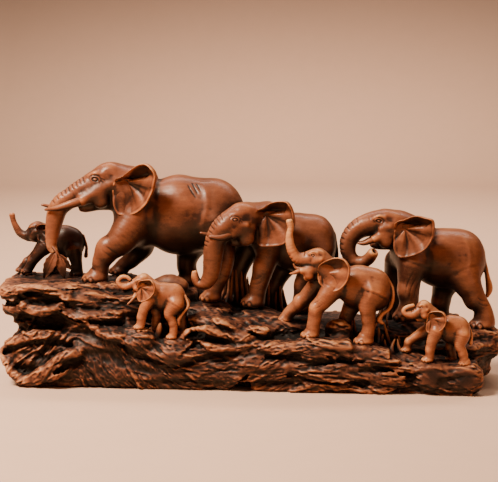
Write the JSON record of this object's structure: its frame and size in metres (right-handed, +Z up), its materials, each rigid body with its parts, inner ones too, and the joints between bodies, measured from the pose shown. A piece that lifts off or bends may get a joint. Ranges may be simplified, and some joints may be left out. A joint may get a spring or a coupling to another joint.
{
  "type": "carved wooden elephant herd figurine",
  "caption": "Carved wooden herd of walking elephants, adults and calves, pegged onto one stepped rock-and-root base.",
  "frame": {"origin": "middle of the base's flat underside", "axes": "+X along the base from the bull's end to the third adult's end, against the way the herd walks; +Y from the show side to the back; +Z up"},
  "size_m": [0.424, 0.115, 0.186],
  "materials": {
    "carved_wood": "satin waxed reddish-brown wood, golden on worn high spots and near black in the hollows",
    "root_wood": "satin dark brown carved root wood, orange on worn ridges and near black in the crevices",
    "peg_wood": "raw beech dowel, glued"
  },
  "bodies": {
    "root": {"base_block": "root_wood", "base_plinth": "root_wood", "leaf_sprig": "carved_wood", "bull_body": "carved_wood", "bull_ear_near": "carved_wood", "bull_ear_far": "carved_wood", "bull_tusk_near": "carved_wood", "bull_tusk_far": "carved_wood", "bull_foot_pegs": "peg_wood", "second_adult_body": "carved_wood", "second_adult_ear_near": "carved_wood", "second_adult_ear_far": "carved_wood", "second_adult_tusk_near": "carved_wood", "second_adult_tusk_far": "carved_wood", "second_adult_foot_pegs": "peg_wood", "juvenile_body": "carved_wood", "juvenile_ear_near": "carved_wood", "juvenile_ear_far": "carved_wood", "juvenile_tusk_near": "carved_wood", "juvenile_tusk_far": "carved_wood", "juvenile_foot_pegs": "peg_wood", "third_adult_body": "carved_wood", "third_adult_ear_near": "carved_wood", "third_adult_ear_far": "carved_wood", "third_adult_tusk_near": "carved_wood", "third_adult_tusk_far": "carved_wood", "third_adult_foot_pegs": "peg_wood", "calf_left_body": "carved_wood", "calf_left_ear_near": "carved_wood", "calf_left_ear_far": "carved_wood", "calf_left_foot_pegs": "peg_wood", "calf_middle_body": "carved_wood", "calf_middle_ear_near": "carved_wood", "calf_middle_ear_far": "carved_wood", "calf_middle_tusk_near": "carved_wood", "calf_middle_foot_pegs": "peg_wood", "calf_right_body": "carved_wood", "calf_right_ear_near": "carved_wood", "calf_right_ear_far": "carved_wood", "calf_right_foot_pegs": "peg_wood"}
  },
  "joints": []
}
